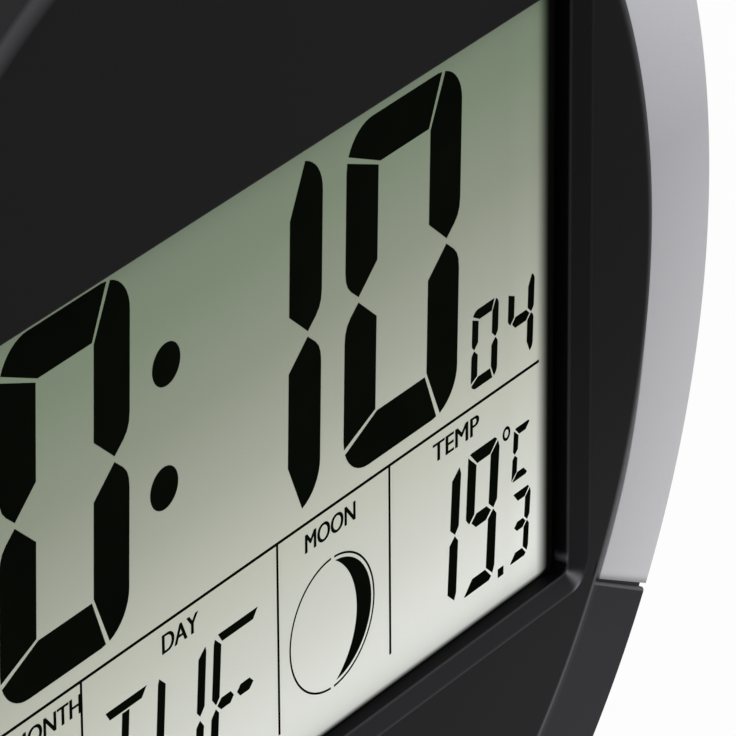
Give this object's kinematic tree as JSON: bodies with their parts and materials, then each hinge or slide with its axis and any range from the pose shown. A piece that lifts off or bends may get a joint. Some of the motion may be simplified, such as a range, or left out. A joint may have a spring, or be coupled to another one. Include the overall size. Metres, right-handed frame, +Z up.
{
  "type": "digital wall clock",
  "caption": "Round black wall clock with a wide sunken display, silver side trims, rear buttons, keyhole hanger and battery bay.",
  "frame": {"origin": "centre of the flat back, on the wall plane", "axes": "+Z up, +X to the right as seen from the front, +Y into the wall; the display looks along -Y"},
  "size_m": [0.3, 0.03, 0.3],
  "materials": {
    "black_abs": "satin moulded ABS",
    "silver_paint": "satin silver paint on ABS",
    "display_glass": "liquid-crystal glass with matt polariser",
    "reflector_film": "pearl film",
    "white_abs": "moulded",
    "circuit_board": "solder mask",
    "epoxy": "potting resin",
    "silicone": "moulded silicone",
    "nickel_plate": "nickel-plated spring steel",
    "screw_steel": "zinc-plated",
    "grey_abs": "moulded",
    "cell_jacket": "plain printed foil jacket",
    "red_pvc": "wire insulation",
    "black_pvc": "sleeve"
  },
  "bodies": {
    "case": {"front_housing": "black_abs", "silver_trim_left": "silver_paint", "silver_trim_right": "silver_paint", "lcd_glass": "display_glass", "lcd_reflector": "reflector_film", "lcd_holder": "white_abs", "zebra_strip": "silicone", "main_board": "circuit_board", "controller_blob": "epoxy", "clock_crystal": "nickel_plate", "smoothing_capacitor": "black_pvc", "thermistor": "epoxy", "key_mat": "silicone", "unit_switch_body": "nickel_plate", "rear_cover": "black_abs", "battery_upper": "cell_jacket", "battery_lower": "cell_jacket", "bridge_contact": "nickel_plate", "negative_terminal": "nickel_plate", "positive_terminal": "nickel_plate", "negative_lead": "black_pvc", "positive_lead": "red_pvc", "case_screw_1": "screw_steel", "case_screw_2": "screw_steel", "case_screw_3": "screw_steel", "case_screw_4": "screw_steel", "case_screw_5": "screw_steel", "case_screw_6": "screw_steel", "holder_screw_1": "screw_steel", "holder_screw_2": "screw_steel", "holder_screw_3": "screw_steel", "holder_screw_4": "screw_steel", "holder_screw_5": "screw_steel", "board_screw_1": "screw_steel", "board_screw_2": "screw_steel", "board_screw_3": "screw_steel", "board_screw_4": "screw_steel"},
    "battery_door_body": {"battery_door": "black_abs"},
    "mode_button_body": {"mode_button": "grey_abs"},
    "set_button_body": {"set_button": "grey_abs"},
    "plus_button_body": {"plus_button": "grey_abs"},
    "minus_button_body": {"minus_button": "grey_abs"},
    "unit_slider_body": {"unit_slider": "grey_abs"}
  },
  "joints": [
    {"name": "battery_door_hinge", "type": "hinge", "parent": "case", "child": "battery_door_body", "pos_m": [0, -0.0013, -0.1119], "axis": [-1, 0, 0], "range_deg": [0, 75]},
    {"name": "mode_button_press", "type": "slide", "parent": "case", "child": "mode_button_body", "axis": [0, -1, 0], "range_m": [0, 0.0008], "stiffness_N_per_m": 900, "springref_m": -0.0004},
    {"name": "set_button_press", "type": "slide", "parent": "case", "child": "set_button_body", "axis": [0, -1, 0], "range_m": [0, 0.0008], "stiffness_N_per_m": 900, "springref_m": -0.0004},
    {"name": "plus_button_press", "type": "slide", "parent": "case", "child": "plus_button_body", "axis": [0, -1, 0], "range_m": [0, 0.0008], "stiffness_N_per_m": 900, "springref_m": -0.0004},
    {"name": "minus_button_press", "type": "slide", "parent": "case", "child": "minus_button_body", "axis": [0, -1, 0], "range_m": [0, 0.0008], "stiffness_N_per_m": 900, "springref_m": -0.0004},
    {"name": "unit_slider_travel", "type": "slide", "parent": "case", "child": "unit_slider_body", "axis": [1, 0, 0], "range_m": [0, 0.003]}
  ]
}
